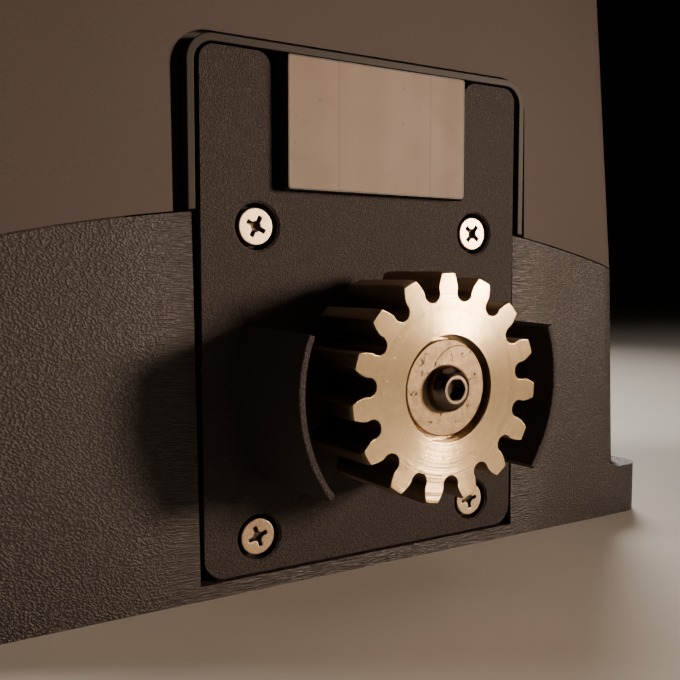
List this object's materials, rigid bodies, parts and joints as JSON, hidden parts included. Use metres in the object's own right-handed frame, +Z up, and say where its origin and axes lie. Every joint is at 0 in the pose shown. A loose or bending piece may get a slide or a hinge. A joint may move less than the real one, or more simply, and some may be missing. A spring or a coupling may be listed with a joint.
{
  "type": "sliding gate motor",
  "caption": "Rack-driving motor for a sliding gate: moulded housing, steel pinion between finger guards, worm gearbox, release lever",
  "frame": {"origin": "centre of the four anchor slots, on the underside of the base", "axes": "+X to the right as seen from the pinion side and along the gate's travel, +Y away from the pinion side, +Z up"},
  "size_m": [0.308, 0.2275, 0.29],
  "materials": {
    "base_plastic": "moulded, fine pebbled grain",
    "cover_plastic": "moulded, smooth matt",
    "trim_plastic": "moulded, satin",
    "plate_plastic": "moulded, fine matt grain",
    "plated_screws": "bright nickel plating",
    "sensor_plastic": "moulded, satin black",
    "sensor_window": "smooth pale resin face",
    "gear_steel": "turned face, cut teeth",
    "washer_steel": "turned and lightly scratched",
    "black_screw": "black oxide",
    "shaft_steel": "ground",
    "seal_rubber": "matt rubber",
    "wheel_bronze": "cut bronze",
    "cast_alloy": "die cast, bead blasted",
    "zinc_screws": "zinc plated",
    "core_steel": "varnished laminations",
    "copper": "enamelled copper wire",
    "coil_tape": "yellow winding tape",
    "lever_plastic": "moulded, fine matt grain",
    "lock_metal": "satin nickel",
    "carrier_plastic": "moulded black",
    "board_laminate": "green solder resist",
    "relay_plastic": "blue moulded cases",
    "terminal_plastic": "green moulded blocks",
    "fuse_plastic": "black moulded cap",
    "capacitor_shell": "pale grey moulded can",
    "clip_steel": "spring steel strip",
    "bearing_steel": "ground rings"
  },
  "bodies": {
    "housing": {"base_housing": "base_plastic", "front_plate": "plate_plastic", "plate_screws": "plated_screws", "sensor_case": "sensor_plastic", "sensor_face": "sensor_window", "lever_pin": "shaft_steel", "shaft_seal": "seal_rubber", "cable_grommet": "seal_rubber", "gearbox_housing": "cast_alloy", "gearbox_lid": "cast_alloy", "motor_frame": "cast_alloy", "motor_end_cap": "cast_alloy", "lid_screws": "zinc_screws", "gearbox_screws": "zinc_screws", "motor_bolts": "zinc_screws", "carrier_screws": "zinc_screws", "transformer_screws": "zinc_screws", "board_screws": "zinc_screws", "stator_core": "core_steel", "transformer_core": "core_steel", "stator_windings": "copper", "transformer_coil": "coil_tape", "board_carrier": "carrier_plastic", "control_board": "board_laminate", "relays": "relay_plastic", "terminal_blocks": "terminal_plastic", "board_fuse_holder": "fuse_plastic", "run_capacitor": "capacitor_shell", "capacitor_clip": "clip_steel", "output_front_bearing_outer": "bearing_steel", "output_rear_bearing_outer": "bearing_steel", "worm_lower_bearing_outer": "bearing_steel", "worm_middle_bearing_outer": "bearing_steel", "motor_top_bearing_outer": "bearing_steel"},
    "output": {"output_shaft": "shaft_steel", "pinion": "gear_steel", "pinion_washer": "washer_steel", "pinion_screw": "black_screw", "pinion_key": "shaft_steel", "wheel_key": "shaft_steel", "shaft_circlip": "washer_steel", "worm_wheel": "wheel_bronze", "output_front_bearing_inner": "bearing_steel", "output_rear_bearing_inner": "bearing_steel"},
    "motor_rotor": {"worm_shaft": "shaft_steel", "rotor_core": "core_steel", "worm_lower_bearing_inner": "bearing_steel", "worm_middle_bearing_inner": "bearing_steel", "motor_top_bearing_inner": "bearing_steel"},
    "cover": {"cover": "cover_plastic", "cover_trim": "trim_plastic", "cover_screws": "zinc_screws"},
    "lever": {"release_lever": "lever_plastic"},
    "lock": {"lock_cylinder": "lock_metal"},
    "rod": {"release_rod": "shaft_steel"}
  },
  "joints": [
    {"name": "motor_spin", "type": "hinge", "parent": "housing", "child": "motor_rotor", "pos_m": [-0.044, -0.032, 0.15], "axis": [0, 0, 1], "continuous": true},
    {"name": "output_spin", "type": "hinge", "parent": "housing", "child": "output", "pos_m": [0.015, -0.032, 0.0654], "axis": [0, 1, 0], "continuous": true},
    {"name": "cover_lift", "type": "slide", "parent": "housing", "child": "cover", "axis": [0, 0, 1], "range_m": [0, 0.2]},
    {"name": "lever_swing", "type": "hinge", "parent": "housing", "child": "lever", "pos_m": [-0.13135, -0.038, 0.063], "axis": [0, 0, 1], "range_deg": [0, 90]},
    {"name": "lock_turn", "type": "hinge", "parent": "lever", "child": "lock", "pos_m": [-0.135, 0.046, 0.063], "axis": [-1, 0, 0], "range_deg": [0, 90]},
    {"name": "rod_slide", "type": "slide", "parent": "housing", "child": "rod", "axis": [1, 0, 0], "range_m": [0, 0.0025]}
  ],
  "couplings": [
    {"joint": "output_spin", "follows": "motor_spin", "ratio": -0.033333},
    {"joint": "rod_slide", "follows": "lever_swing", "m_per_rad": 0.00159}
  ]
}
